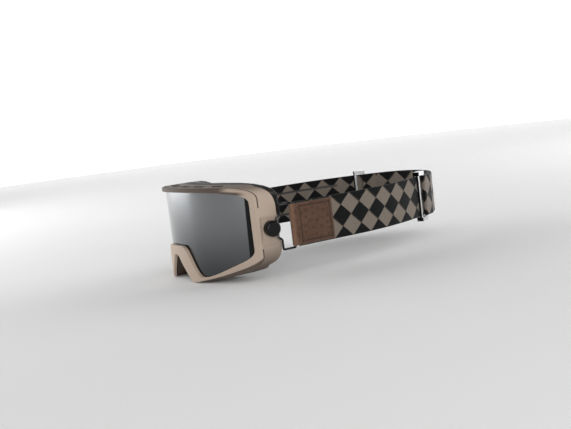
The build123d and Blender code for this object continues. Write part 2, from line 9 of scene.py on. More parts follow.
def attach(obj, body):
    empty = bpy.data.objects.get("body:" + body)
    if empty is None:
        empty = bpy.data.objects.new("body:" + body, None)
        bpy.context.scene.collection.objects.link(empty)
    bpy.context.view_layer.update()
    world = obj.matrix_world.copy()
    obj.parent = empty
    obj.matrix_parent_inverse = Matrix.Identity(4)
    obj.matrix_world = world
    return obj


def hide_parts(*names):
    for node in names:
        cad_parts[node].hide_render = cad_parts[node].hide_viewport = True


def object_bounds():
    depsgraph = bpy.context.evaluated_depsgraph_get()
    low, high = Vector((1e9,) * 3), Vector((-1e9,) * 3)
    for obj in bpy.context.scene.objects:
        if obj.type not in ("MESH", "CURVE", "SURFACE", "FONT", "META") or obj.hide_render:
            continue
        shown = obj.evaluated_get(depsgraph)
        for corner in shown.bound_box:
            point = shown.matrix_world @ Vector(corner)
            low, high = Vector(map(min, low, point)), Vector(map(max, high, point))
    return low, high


# Looks for the motorcycle goggles, in metres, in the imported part's own frame. Sizes named in
# millimetres are multiplied by MM. The goggles face -Y, +X is the wearer's left.
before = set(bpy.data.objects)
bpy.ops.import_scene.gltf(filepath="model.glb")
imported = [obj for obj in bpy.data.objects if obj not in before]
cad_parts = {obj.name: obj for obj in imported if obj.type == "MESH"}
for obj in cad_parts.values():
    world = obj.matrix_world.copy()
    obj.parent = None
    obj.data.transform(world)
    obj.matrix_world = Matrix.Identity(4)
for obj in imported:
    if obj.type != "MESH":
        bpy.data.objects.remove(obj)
cad_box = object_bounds()
MM = 0.001
FLOOR_Z = cad_box[0].z - 0.4 * MM
SIDES = (("left", 1), ("right", -1))

# the part's own sizes, in millimetres and degrees
BAIL_X = 87.6
BAIL_BAR_Y = 22.5
STRAP_START_Y = 27.0
STRAIGHT_END_Y = 92.0
SIDE_RADIUS = 230.0
SIDE_END = 34.0
SLIDER_ANGLE = 28.2
SLIDER_REAR = 5.3
BACK_LIFT = 0.95
TAB_LIFT = 3.2
STRAP_END = 30.0
FOLD_RADIUS = 1.6
FOLD_END = 33.6
FOLD_THICKNESS = 1.0
GRIP_START_Y = 73.0
GRIP_END = 21.0
GRIP_SPACING = 13.0
GRIP_WIDTH = 2.2
GRIP_THICKNESS = 0.4
STRAP_WIDTH = 45.0
STRAP_THICKNESS = 1.6
PATCH_HEIGHT = 42.5
PATCH_END_Y = 68.0
PATCH_BORE = 1.16
LEATHER = 1.5
RIM_RADIUS = 93.45
GROOVE_FRONT_Y = 25.15
GROOVE_REAR_Y = 26.35
SLIDER_LENGTH = 14.0

# the strap's pattern, in millimetres
DIAMOND_LONG = 22.62
DIAMOND_TALL = 22.5
DIAMOND_START = 79.7 - STRAP_START_Y

# points across the strap and its folds
STRAP_COLUMNS = 37

# the leather's raised marks: least distance apart and radius, and how far the marks on the rear
# layer are shifted from those in front, in millimetres
MARK_GAP = 5.8
MARK_RADIUS = 1.7
MARK_SHIFT = 3.1

# the patch's seam, in millimetres from the patch's end, its long edges and the bail's bar
SEAM_FROM_END = 3.0
SEAM_FROM_EDGE = 3.6
SEAM_FROM_BAR = 8.0
STITCH_PITCH = 3.2
STITCH_RADIUS = 0.33

# how bright the plain white surroundings are, and the backdrop's size in metres
WORLD = 0.3
BACKDROP_RADIUS = 2.4
BACKDROP_HEIGHT = 2.2


# ---- material nodes ----
class Look:
    """A node material, with short ways to add nodes to it."""

    def __init__(self, name):
        self.material = bpy.data.materials.new(name)
        self.material.use_nodes = True
        self.tree = self.material.node_tree
        self.shader = self.tree.nodes["Principled BSDF"]

    def put(self, socket, value):
        if isinstance(value, bpy.types.NodeSocket):
            self.tree.links.new(value, socket)
        else:
            socket.default_value = value

    def set(self, **values):
        for key, value in values.items():
            self.put(self.shader.inputs[key.replace("_", " ")], value)

    def node(self, kind, inputs=(), **settings):
        made = self.tree.nodes.new("ShaderNode" + kind)
        for key, value in settings.items():
            setattr(made, key, value)
        for key, value in dict(inputs).items():
            self.put(made.inputs[key], value)
        return made

    def place(self):
        return self.node("TexCoord").outputs["Object"]

    def uv(self):
        return self.node("TexCoord").outputs["UV"]

    def apart(self, vector):
        return self.node("SeparateXYZ", {0: vector}).outputs

    def math(self, operation, a, b=0.0):
        return self.node("Math", {0: a, 1: b}, operation=operation).outputs[0]

    def span(self, value, low, high, to_low=0.0, to_high=1.0, smooth=True):
        kind = "SMOOTHSTEP" if smooth else "LINEAR"
        inputs = {0: value, 1: low, 2: high, 3: to_low, 4: to_high}
        return self.node("MapRange", inputs, interpolation_type=kind).outputs[0]

    def mix(self, share, a, b):
        made = self.node("Mix", data_type="RGBA")
        self.put(made.inputs[0], share)
        self.put(made.inputs[6], a)
        self.put(made.inputs[7], b)
        return made.outputs[2]

    def noise(self, vector, scale, detail=3.0, roughness=0.5, stretch=None):
        if stretch:
            vector = self.node("Mapping", {0: vector, 3: stretch}).outputs[0]
        inputs = {"Vector": vector, "Scale": scale, "Detail": detail, "Roughness": roughness}
        return self.node("TexNoise", inputs).outputs[0]

    def cells(self, vector, scale):
        return self.node("TexVoronoi", {"Vector": vector, "Scale": scale}).outputs[0]

    def bump(self, height, distance, strength=1.0, normal=None):
        inputs = {"Height": height, "Distance": distance, "Strength": strength}
        if normal is not None:
            inputs["Normal"] = normal
        return self.node("Bump", inputs).outputs[0]


def rgb(red, green, blue):
    """A colour given as 0-255 sRGB numbers."""
    linear = []
    for part in (red, green, blue):
        part /= 255
        linear.append(part / 12.92 if part <= 0.04045 else ((part + 0.055) / 1.055) ** 2.4)
    return (*linear, 1.0)


def from_axis(look, x, y, axis_y):
    """The distance from the upright axis at X = 0, Y = axis_y."""
    y = look.math("SUBTRACT", y, axis_y * MM)
    squares = look.math("ADD", look.math("MULTIPLY", x, x), look.math("MULTIPLY", y, y))
    return look.math("SQRT", squares)


def all_of(look, *masks):
    """The masks multiplied together."""
    result = masks[0]
    for mask in masks[1:]:
        result = look.math("MULTIPLY", result, mask)
    return result


def sand_plastic():
    look = Look("sand_plastic")
    place = look.place()
    x, y, z = look.apart(place)
    clouds = look.noise(place, 45)
    grain = look.noise(place, 1900, 4, 0.6)
    colour = look.mix(clouds, rgb(198, 180, 164), rgb(184, 166, 150))
    colour = look.mix(look.span(grain, 0.35, 0.75, 0, 0.22), colour, rgb(144, 126, 111))
    # painted shade: the groove behind the rim is painted dark, as shade in it; its walls are the rim's
    # front cylinder moved back
    off_middle = look.math("ABSOLUTE", look.math("SUBTRACT", z, 2 * MM))
    from_front_wall = from_axis(look, x, y, GROOVE_FRONT_Y)
    from_rear_wall = from_axis(look, x, y, GROOVE_REAR_Y)
    groove = all_of(
        look,
        look.span(from_front_wall, (RIM_RADIUS + 0.13) * MM, (RIM_RADIUS - 0.05) * MM),
        look.span(from_rear_wall, (RIM_RADIUS - 0.13) * MM, (RIM_RADIUS + 0.05) * MM),
        look.span(y, 0.0, -1 * MM),
        look.math("MAXIMUM", look.span(off_middle, 20.2 * MM, 20.6 * MM),
                  look.span(look.math("ABSOLUTE", x), 82.3 * MM, 82.1 * MM)),
    )
    # painted shade: the shell's top and underside, and the rim's brow over the lens, are painted a darker
    # brown, as shade
    behind = look.span(from_rear_wall, (RIM_RADIUS + 0.05) * MM, (RIM_RADIUS - 0.15) * MM)
    high = look.span(z, 36 * MM, 47 * MM, 0, 0.85)
    low = look.span(z, -6 * MM, -40 * MM, 0, 0.9)
    painted_top_and_under_shade = look.math("MULTIPLY", behind, look.math("MAXIMUM", high, low))
    # the brow's painted shade follows the lens's top edge, which drops towards the sides; it covers the
    # rim's whole height in the middle and only its lower part near the corners
    wide = look.math("MULTIPLY", look.math("ABSOLUTE", x), 1 / (74 * MM))
    drop = look.math("MULTIPLY", look.math("POWER", wide, 3.15), 6.0 * MM)
    level = look.math("ADD", z, drop)
    painted_brow_shade = all_of(
        look,
        look.span(level, 43.7 * MM, 44.5 * MM, 0, 0.9),
        look.math("MAXIMUM", look.span(wide, 1.0, 0.88), look.span(level, 48 * MM, 46.4 * MM)),
        look.span(wide, 1.12, 1.04),
        look.span(from_front_wall, RIM_RADIUS * MM, (RIM_RADIUS + 0.15) * MM),
    )
    # the colour of the painted shade on the shell's top, underside and brow
    painted_shade_brown = look.mix(grain, rgb(86, 75, 67), rgb(68, 58, 51))
    colour = look.mix(look.math("MAXIMUM", painted_top_and_under_shade, painted_brow_shade), colour, painted_shade_brown)
    # painted shade: the groove's dark line
    colour = look.mix(groove, colour, rgb(40, 31, 25))
    look.set(Base_Color=colour, Roughness=look.span(grain, 0.3, 0.7, 0.6, 0.74), Specular_IOR_Level=0.25)
    look.set(Coat_Weight=0.05, Coat_Roughness=0.35)
    normal = look.bump(grain, 0.00012, 0.35)
    look.set(Normal=look.bump(clouds, 0.0006, 0.12, normal))
    return look.material


def brown_rubber():
    look = Look("brown_rubber")
    place = look.place()
    clouds = look.noise(place, 70)
    grain = look.noise(place, 2400, 3, 0.6)
    colour = look.mix(clouds, rgb(84, 70, 61), rgb(70, 58, 50))
    look.set(Base_Color=look.mix(look.span(grain, 0.4, 0.8, 0, 0.3), colour, rgb(46, 38, 33)))
    look.set(Roughness=look.span(grain, 0.3, 0.7, 0.55, 0.72), Specular_IOR_Level=0.35)
    look.set(Normal=look.bump(grain, 0.00015, 0.4))
    return look.material


def mirror_lens():
    look = Look("mirror_lens")
    place = look.place()
    x, _, z = look.apart(place)
    wide = look.math("ABSOLUTE", x)
    film = look.noise(place, 9, 2)
    specks = look.noise(place, 5200, 2)
    # painted reflection: the lens is painted lighter towards the top and darker towards the bottom
    painted_reflection_tint = look.mix(look.span(z, -45 * MM, 45 * MM), rgb(74, 75, 77), rgb(146, 148, 150))
    colour = look.mix(look.span(film, 0.35, 0.7, 0, 0.2), painted_reflection_tint, rgb(108, 111, 114))
    # painted shadow: the lens is painted dark near its edge, where the rim's shadow falls on it: along both
    # sides, and in a narrow line round the nose notch
    slanted = look.math("SUBTRACT", wide, look.math("MULTIPLY", z, 0.014))
    side_edge_shadow = look.span(slanted, 79.2 * MM, 79.8 * MM)
    over_bridge = look.math("ADD", z, 11 * MM)
    past_flank = look.math("ADD", look.math("MULTIPLY", look.math("SUBTRACT", wide, 24.2 * MM), 0.873),
                           look.math("MULTIPLY", look.math("ADD", z, 19 * MM), 0.489))
    notch_edge_shadow = look.span(look.math("MAXIMUM", over_bridge, past_flank), 1.2 * MM, 0.7 * MM)
    colour = look.mix(look.math("MAXIMUM", side_edge_shadow, notch_edge_shadow), colour, rgb(14, 14, 15))
    look.set(Base_Color=colour, Metallic=0.96, Roughness=look.span(film, 0.3, 0.7, 0.1, 0.15))
    look.set(Coat_Weight=0.35, Coat_Roughness=0.04)
    look.set(Normal=look.bump(specks, 0.00002, 0.05))
    return look.material


def open_foam(name, dark, light, cell):
    look = Look(name)
    place = look.place()
    cells = look.cells(place, cell)
    fine = look.noise(place, cell * 1.7, 4, 0.7)
    clouds = look.noise(place, 60)
    # painted shade: the foam's pores, the low places of its bump, are painted dark
    depth = look.span(cells, 0.1, 0.62)
    colour = look.mix(depth, light, dark)
    colour = look.mix(look.span(clouds, 0.35, 0.7, 0, 0.35), colour, dark)
    look.set(Base_Color=look.mix(look.span(fine, 0.5, 0.8, 0, 0.3), colour, light), Roughness=0.96)
    look.set(Specular_IOR_Level=0.12, Sheen_Weight=0.2, Sheen_Roughness=0.6)
    normal = look.bump(look.math("SUBTRACT", 1.0, depth), 0.0005, 0.7)
    look.set(Normal=look.bump(fine, 0.0002, 0.5, normal))
    return look.material


def fleece_fabric():
    look = Look("fleece_fabric")
    place = look.place()
    nap = look.noise(place, 1500, 5, 0.75, (1, 1, 0.6))
    tufts = look.noise(place, 320, 3, 0.6)
    colour = look.mix(nap, rgb(22, 21, 21), rgb(62, 59, 57))
    look.set(Base_Color=look.mix(look.span(tufts, 0.4, 0.7, 0, 0.5), colour, rgb(35, 33, 32)))
    look.set(Roughness=1.0, Specular_IOR_Level=0.05, Sheen_Weight=0.6, Sheen_Roughness=0.45)
    look.set(Normal=look.bump(nap, 0.0006, 0.8, look.bump(tufts, 0.0008, 0.5)))
    return look.material


def gloss_black():
    look = Look("gloss_black")
    place = look.place()
    wear = look.noise(place, 420, 4, 0.65)
    look.set(Base_Color=look.mix(look.span(wear, 0.6, 0.85), rgb(3, 3, 4), rgb(14, 14, 15)))
    look.set(Roughness=look.span(wear, 0.35, 0.75, 0.12, 0.22), Specular_IOR_Level=0.25)
    look.set(Coat_Weight=0.1, Coat_Roughness=0.06)
    look.set(Normal=look.bump(wear, 0.00008, 0.15))
    return look.material


def black_wire():
    look = Look("black_wire")
    place = look.place()
    drawn = look.noise(place, 1600, 3, 0.6)
    rub = look.noise(place, 160, 3, 0.6)
    colour = look.mix(look.span(rub, 0.5, 0.66, 0, 0.5), rgb(40, 41, 43), rgb(120, 122, 124))
    look.set(Base_Color=colour, Metallic=1.0, Roughness=look.span(drawn, 0.3, 0.7, 0.16, 0.3))
    look.set(Normal=look.bump(drawn, 0.00005, 0.2))
    return look.material


def bare_steel():
    look = Look("bare_steel")
    place = look.place()
    turned = look.noise(place, 2600, 3, 0.6)
    stain = look.noise(place, 300, 3)
    colour = look.mix(look.span(stain, 0.4, 0.7, 0, 0.5), rgb(178, 180, 183), rgb(120, 120, 122))
    look.set(Base_Color=colour, Metallic=1.0, Roughness=look.span(turned, 0.3, 0.7, 0.22, 0.38))
    look.set(Normal=look.bump(turned, 0.00004, 0.3))
    return look.material


def suede():
    look = Look("suede")
    place = look.place()
    nap = look.noise(place, 1300, 5, 0.7)
    clouds = look.noise(place, 95, 3, 0.6)
    colour = look.mix(clouds, rgb(89, 65, 51), rgb(116, 86, 69))
    colour = look.mix(look.span(nap, 0.35, 0.75, 0, 0.6), colour, rgb(62, 44, 35))
    # the marks' rims are darker and their tops worn lighter; below zero is the seam's groove
    marks = look.node("Attribute", attribute_name="mark").outputs["Fac"]
    colour = look.mix(look.span(marks, 0.05, 0.3, 0, 0.7), colour, rgb(60, 42, 33))
    colour = look.mix(look.span(marks, 0.55, 0.9, 0, 0.8), colour, rgb(140, 112, 94))
    colour = look.mix(look.span(marks, -0.15, -0.8, 0, 0.8), colour, rgb(48, 33, 25))
    # worn paler round the bail's bar, with soft blotches all over
    along = look.apart(place)[1]
    worn = look.span(along, (BAIL_BAR_Y + 3.5) * MM, (BAIL_BAR_Y - 1) * MM, 0, 0.5)
    colour = look.mix(worn, colour, rgb(150, 118, 96))
    blotch = look.noise(place, 260, 4, 0.65)
    colour = look.mix(look.span(blotch, 0.5, 0.72, 0, 0.45), colour, rgb(58, 41, 32))
    look.set(Base_Color=colour, Roughness=0.9, Specular_IOR_Level=0.18)
    look.set(Sheen_Weight=0.25, Sheen_Roughness=0.5)
    look.set(Normal=look.bump(nap, 0.0003, 0.6, look.bump(clouds, 0.0008, 0.3)))
    return look.material


def thread():
    look = Look("thread")
    place = look.place()
    inputs = {"Vector": place, "Scale": 620.0, "Distortion": 1.5}
    twist = look.node("TexWave", inputs, bands_direction="DIAGONAL").outputs[1]
    colour = look.mix(twist, rgb(28, 19, 15), rgb(60, 42, 33))
    look.set(Base_Color=colour, Roughness=0.7, Sheen_Weight=0.2, Sheen_Roughness=0.5)
    look.set(Normal=look.bump(twist, 0.0001, 0.6))
    return look.material


def harlequin(name, dark, light, dark_thread, light_thread):
    """Woven elastic with a diamond pattern. The UV map holds the place on the strap in metres."""
    look = Look(name)
    u, v, _ = look.apart(look.uv())
    pitch = 0.00058
    snapped = []
    for value in (u, v):
        step = look.math("FLOOR", look.math("DIVIDE", value, pitch))
        snapped.append(look.math("MULTIPLY", step, pitch))
    along = look.math("DIVIDE", look.math("SUBTRACT", snapped[0], DIAMOND_START * MM), DIAMOND_LONG * MM)
    across = look.math("DIVIDE", snapped[1], DIAMOND_TALL * MM)
    turns = []
    for operation in ("ADD", "SUBTRACT"):
        angle = look.math("MULTIPLY", look.math(operation, along, across), math.pi)
        turns.append(look.math("COSINE", angle))
    product = all_of(look, *turns)
    black = look.span(product, -0.02, 0.02)
    ribs = []
    for value, step in ((u, pitch * 2), (v, pitch * 1.6)):
        ribs.append(look.math("SINE", look.math("MULTIPLY", value, 2 * math.pi / step)))
    weave = look.span(all_of(look, *ribs), -1, 1, 0, 1, False)
    yarn = look.noise(look.node("CombineXYZ", {0: u, 1: v}).outputs[0], 700, 4, 0.7, (1, 3, 1))
    darks = look.mix(yarn, dark, dark_thread)
    lights = look.mix(yarn, light, light_thread)
    colour = look.mix(black, lights, darks)
    # painted shade between the yarns: the weave's low places are painted darker
    colour = look.mix(look.span(weave, 0.1, 0.6, 0.45, 0), colour, rgb(20, 19, 18))
    # the dark diamonds stand a little proud; a painted shadow runs along one lower edge of each, as cast by
    # the raised diamond
    low = look.math("MULTIPLY", look.math("ADD", along, across), math.pi)
    shifted = look.math("COSINE", look.math("ADD", low, 0.2))
    edge = all_of(look, look.span(look.math("MULTIPLY", shifted, turns[1]), -0.02, 0.02),
                look.math("SUBTRACT", 1.0, black))
    colour = look.mix(look.math("MULTIPLY", edge, 0.8), colour, rgb(17, 16, 15))
    look.set(Base_Color=colour, Roughness=0.88, Specular_IOR_Level=0.16)
    look.set(Sheen_Weight=0.5, Sheen_Roughness=0.3, Sheen_Tint=(0.75, 0.75, 0.76, 1))
    height = look.math("ADD", look.span(product, -0.08, 0.06), look.math("MULTIPLY", weave, 0.45))
    look.set(Normal=look.bump(height, 0.00035, 0.85))
    return look.material


def silicone():
    look = Look("silicone")
    place = look.place()
    dust = look.noise(place, 900, 4, 0.6)
    colour = look.mix(look.span(dust, 0.45, 0.75), rgb(44, 43, 42), rgb(92, 88, 84))
    look.set(Base_Color=colour, Roughness=look.span(dust, 0.3, 0.7, 0.28, 0.5))
    look.set(Coat_Weight=0.2, Coat_Roughness=0.2)
    look.set(Normal=look.bump(dust, 0.00008, 0.25))
    return look.material


def slider_metal():
    """Black enamel on the front of the frame, and the rest polished bright. The place along the
    strap is the angle about the side arc's centre."""
    look = Look("slider_metal")
    place = look.place()
    x, y, _ = look.apart(place)
    wear = look.noise(place, 380, 4, 0.65)
    fine = look.noise(place, 2600, 3, 0.6)
    over = look.math("ADD", look.math("ABSOLUTE", x), (SIDE_RADIUS - BAIL_X) * MM)
    angle = look.math("ARCTAN2", look.math("SUBTRACT", y, STRAIGHT_END_Y * MM), over)
    front = math.radians(SLIDER_ANGLE) - SLIDER_LENGTH / 2 / SIDE_RADIUS
    along = look.math("MULTIPLY", look.math("SUBTRACT", angle, front), SIDE_RADIUS * MM)
    bright = look.span(look.math("ADD", along, look.math("MULTIPLY", wear, 0.4 * MM)), 1.2 * MM, 1.6 * MM)
    colour = look.mix(look.span(wear, 0.6, 0.7, 0, 0.5), rgb(12, 12, 13), rgb(84, 86, 88))
    colour = look.mix(bright, colour, look.mix(fine, rgb(206, 207, 209), rgb(168, 170, 172)))
    look.set(Base_Color=colour, Metallic=0.9, Roughness=look.span(fine, 0.3, 0.7, 0.22, 0.36))
    look.set(Coat_Weight=0.2, Coat_Roughness=0.12, Normal=look.bump(fine, 0.00005, 0.25))
    return look.material


# ---- meshes ----
def make(name, points, faces, material, body, replaced=(), uv=None, marks=None):
    """A mesh piece from points in millimetres, riding on a body."""
    mesh = bpy.data.meshes.new(name)
    mesh.from_pydata([tuple(float(c) * MM for c in p) for p in points], [], faces)
    mesh.validate()
    shell = bmesh.new()
    shell.from_mesh(mesh)
    bmesh.ops.recalc_face_normals(shell, faces=shell.faces)
    shell.to_mesh(mesh)
    shell.free()
    mesh.polygons.foreach_set("use_smooth", [True] * len(mesh.polygons))
    if uv is not None:
        layer = mesh.uv_layers.new(name="UVMap")
        index = np.zeros(len(mesh.loops), int)
        mesh.loops.foreach_get("vertex_index", index)
        layer.data.foreach_set("uv", (np.asarray(uv)[index] * MM).ravel())
    if marks is not None:
        layer = mesh.attributes.new("mark", "FLOAT", "POINT")
        layer.data.foreach_set("value", np.asarray(marks, np.float32))
    mesh.materials.append(material)
    made = bpy.data.objects.new(name, mesh)
    bpy.context.scene.collection.objects.link(made)
    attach(made, body)
    if replaced:
        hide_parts(*replaced)
    return made


def resampled(points, step):
    """Points along a line of X, Y, evenly spaced, with the length up to each."""
    points = np.asarray(points, float)
    reach = np.concatenate([[0], np.cumsum(np.linalg.norm(np.diff(points, axis=0), axis=1))])
    at = np.linspace(0, reach[-1], max(4, round(reach[-1] / step) + 1))
    return np.stack([np.interp(at, reach, points[:, k]) for k in range(2)], axis=1), at


def length_of(line):
    return resampled(line, 1)[1][-1]


def ribbon(path, width, thickness, step, across, outwards, z=0.0, relief=None, start=0.0):
    """An upright band along a line of X, Y: points, faces, UV in millimetres. outwards is 1 or -1
    and says which side of the line is the outer face; relief(u, v, face) lifts a face."""
    line, at = resampled(path, step)
    along = np.gradient(line, axis=0)
    along /= np.linalg.norm(along, axis=1)[:, None]
    normal = np.stack([along[:, 1], -along[:, 0]], axis=1) * outwards
    half = width / 2
    round_off = min(thickness * 0.9, half * 0.5)
    # the section, once round: v across the band, and the offset outwards
    inside = np.linspace(-half + round_off, half - round_off, across)
    section = [(v, thickness / 2, 1) for v in inside]
    for turn in (0.25, 0.5, 0.75):
        section.append((half - round_off + round_off * math.sin(turn * math.pi),
                        thickness / 2 * math.cos(turn * math.pi), 0))
    section += [(v, -thickness / 2, -1) for v in inside[::-1]]
    for turn in (0.25, 0.5, 0.75):
        section.append((-half + round_off - round_off * math.sin(turn * math.pi),
                        -thickness / 2 * math.cos(turn * math.pi), 0))
    count = len(section)
    points, uv = [], []
    for i, (x, y) in enumerate(line):
        for v, off, face in section:
            lift = relief(at[i] + start, v, face) if relief else 0.0
            reach = off + lift * (1 if off >= 0 else -1)
            points.append((x + normal[i, 0] * reach, y + normal[i, 1] * reach, z + v))
            uv.append((at[i] + start, v))
    faces = []
    for i in range(len(line) - 1):
        for k in range(count):
            a, b = i * count + k, i * count + (k + 1) % count
            c, d = b + count, a + count
            faces.append((a, b, c, d) if outwards > 0 else (d, c, b, a))
    # one cap at each end
    for i in (0, len(line) - 1):
        ring = [i * count + k for k in range(count)]
        faces.append(ring[::-1] if (i == 0) == (outwards > 0) else ring)
    return points, faces, uv


def side_point(angle, off, side):
    centre = BAIL_X - SIDE_RADIUS
    angle = math.radians(angle)
    return (side * (centre + (SIDE_RADIUS + off) * math.cos(angle)),
            STRAIGHT_END_Y + (SIDE_RADIUS + off) * math.sin(angle))


def back_point(angle, off, side):
    end = math.radians(SIDE_END)
    radius = (BAIL_X - SIDE_RADIUS + SIDE_RADIUS * math.cos(end)) / math.cos(end)
    centre_y = STRAIGHT_END_Y + (SIDE_RADIUS - radius) * math.sin(end)
    angle = math.radians(angle)
    return (side * (radius + off) * math.cos(angle), centre_y + (radius + off) * math.sin(angle))


def strap_line(side):
    """The middle of a strap half, from its patch round to past the other side's slider."""
    lap = -side
    points = [(side * BAIL_X, y) for y in (STRAP_START_Y, STRAIGHT_END_Y)]
    points += [side_point(a, 0, side) for a in np.linspace(0, SIDE_END, 60)[1:]]
    for k in np.linspace(0, 1, 60)[1:]:
        points.append(back_point(SIDE_END + (90 - SIDE_END) * k, lap * BACK_LIFT * k, side))
    for k in np.linspace(0, 1, 60)[1:]:
        off = lap * (BACK_LIFT + (TAB_LIFT - BACK_LIFT) * k)
        points.append(back_point(90 + (SIDE_END - 90) * k, off, -side))
    points += [side_point(a, lap * TAB_LIFT, -side) for a in np.linspace(SIDE_END, STRAP_END, 8)[1:]]
    return points


# ---- camera, light and floor ----
def camera():
    azimuth, elevation, roll = (math.radians(a) for a in (62.4572, 7.1387, 7.0067))
    distance, shift_right, shift_up = 938.695, -53.3636, -9.3043
    back = Vector((math.sin(azimuth) * math.cos(elevation),
                   -math.cos(azimuth) * math.cos(elevation), math.sin(elevation)))
    level = Vector((math.cos(azimuth), math.sin(azimuth), 0))
    upright = back.cross(level)
    right = level * math.cos(roll) - upright * math.sin(roll)
    up = level * math.sin(roll) + upright * math.cos(roll)
    data = bpy.data.cameras.new("camera")
    data.sensor_width = 36
    data.lens = 55.166
    data.clip_start, data.clip_end = 0.01, 50
    made = bpy.data.objects.new("camera", data)
    bpy.context.scene.collection.objects.link(made)
    turn = Matrix((right, up, back)).transposed().to_4x4()
    turn.translation = (back * distance - right * shift_right - up * shift_up) * MM
    made.matrix_world = turn
    bpy.context.scene.camera = made


def area_light(name, at, target, size, power):
    data = bpy.data.lights.new(name, "AREA")
    data.shape = "RECTANGLE"
    data.size, data.size_y = size
    data.energy = power
    made = bpy.data.objects.new(name, data)
    bpy.context.scene.collection.objects.link(made)
    made.location = at
    made.rotation_mode = "QUATERNION"
    made.rotation_quaternion = (Vector(target) - Vector(at)).to_track_quat("-Z", "Y")


def stage_surface(name, corners, faces, material):
    mesh = bpy.data.meshes.new(name)
    mesh.from_pydata(corners, [], faces)
    mesh.materials.append(material)
    made = bpy.data.objects.new(name, mesh)
    bpy.context.scene.collection.objects.link(made)


def floor():
    paper = Look("pale_paper")
    tone = paper.mix(paper.noise(paper.place(), 3), (0.86, 0.86, 0.86, 1), (0.9, 0.9, 0.9, 1))
    paper.set(Base_Color=tone, Roughness=0.8)
    size = 5.0
    corners = [(x * size, y * size, FLOOR_Z) for x, y in ((-1, -1), (1, -1), (1, 1), (-1, 1))]
    stage_surface("floor", corners, [(0, 1, 2, 3)], paper.material)


def backdrop():
    """Lit white paper behind the object, round the far side from the camera."""
    glow = Look("lit_paper")
    glow.set(Base_Color=(0.9, 0.9, 0.9, 1), Roughness=0.9)
    glow.set(Emission_Color=(1, 1, 1, 1), Emission_Strength=0.75)
    turns = [math.radians(a) for a in range(150, 301, 10)]
    line = [(BACKDROP_RADIUS * math.sin(a), -BACKDROP_RADIUS * math.cos(a)) for a in turns]
    corners = [(x, y, z) for z in (FLOOR_Z, FLOOR_Z + BACKDROP_HEIGHT) for x, y in line]
    count = len(line)
    faces = [(i, i + 1, i + 1 + count, i + count) for i in range(count - 1)]
    stage_surface("backdrop", corners, faces, glow.material)


def studio():
    """A pale floor, a white backdrop behind the object, and three soft lights set low."""
    scene = bpy.context.scene
    scene.view_settings.view_transform = "Standard"
    world = bpy.data.worlds.new("studio")
    world.use_nodes = True
    world.node_tree.nodes["Background"].inputs[0].default_value = (1, 1, 1, 1)
    world.node_tree.nodes["Background"].inputs[1].default_value = WORLD
    scene.world = world
    area_light("key", (1.37, -0.29, 0.3), (0, 0.05, 0), (1.0, 0.7), 7.2)
    area_light("left", (-1.03, -0.87, 0.25), (0, 0, 0), (1.2, 0.9), 15)
    area_light("back", (0.1, 1.6, 0.3), (0, 0.1, 0), (0.9, 0.8), 8)
    floor()
    backdrop()


# ---- pieces ----
def dress(node, material, bevel=0.0):
    """A CAD node that stays, with a real material and softened edges."""
    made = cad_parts[node]
    made.data.materials.clear()
    made.data.materials.append(material)
    if bevel:
        softened = made.modifiers.new("soft edges", "BEVEL")
        softened.width = bevel * MM
        softened.segments = 2
        softened.limit_method = "ANGLE"
        softened.angle_limit = math.radians(35)


def foam_piece(name, node, body, material, voxel, smooth, rough, seed, cap=0.0):
    """A foam part from its CAD solid: remeshed, its edges softened, puffed up by at most cap
    and pitted by rough, in millimetres."""
    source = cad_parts[node]
    mesh = source.data.copy()
    made = bpy.data.objects.new(name, mesh)
    bpy.context.scene.collection.objects.link(made)
    remesh = made.modifiers.new("remesh", "REMESH")
    remesh.mode = "VOXEL"
    remesh.voxel_size = voxel * MM
    soften = made.modifiers.new("soften", "SMOOTH")
    soften.factor = 0.5
    soften.iterations = smooth
    bake(made)
    if cap:
        puff(made, cap * MM)
    pit(made, rough * MM, seed)
    made.data.materials.clear()
    made.data.materials.append(material)
    made.data.polygons.foreach_set("use_smooth", [True] * len(made.data.polygons))
    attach(made, body)
    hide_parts(node)
    return made


def bake(made):
    """Applies a piece's modifiers."""
    evaluated = made.evaluated_get(bpy.context.evaluated_depsgraph_get())
    mesh = bpy.data.meshes.new_from_object(evaluated)
    made.modifiers.clear()
    made.data = mesh


def corners_of(made):
    points = np.zeros(len(made.data.vertices) * 3)
    made.data.vertices.foreach_get("co", points)
    return points.reshape(-1, 3)


def puff(made, cap):
    """A short cloth simulation with pressure, which crowns the foam; no point moves over cap."""
    rest = corners_of(made)
    cloth = made.modifiers.new("cloth", "CLOTH")
    cloth.settings.use_pressure = True
    cloth.settings.uniform_pressure_force = 4
    cloth.settings.effector_weights.gravity = 0
    cloth.collision_settings.use_collision = False
    for step in range(1, 13):
        bpy.context.scene.frame_set(step)
    bake(made)
    bpy.context.scene.frame_set(1)
    moved = corners_of(made) - rest
    size = np.linalg.norm(moved, axis=1)
    moved *= (np.minimum(size, cap) / np.maximum(size, 1e-9))[:, None]
    made.data.vertices.foreach_set("co", (rest + moved).ravel())
    made.data.update()


def pit(made, depth, seed):
    """Moves each point inwards a little, by a smooth field, so that the foam isn't even."""
    points = corners_of(made)
    normals = np.zeros(len(points) * 3)
    made.data.vertices.foreach_get("normal", normals)
    wave = np.sin(points @ np.array((700, 950, 610)) + seed)
    wave = wave * np.sin(points @ np.array((-820, 520, 890)) + 2 * seed)
    moved = normals.reshape(-1, 3) * (depth * (wave - 1) / 2)[:, None]
    made.data.vertices.foreach_set("co", (points + moved).ravel())
    made.data.update()


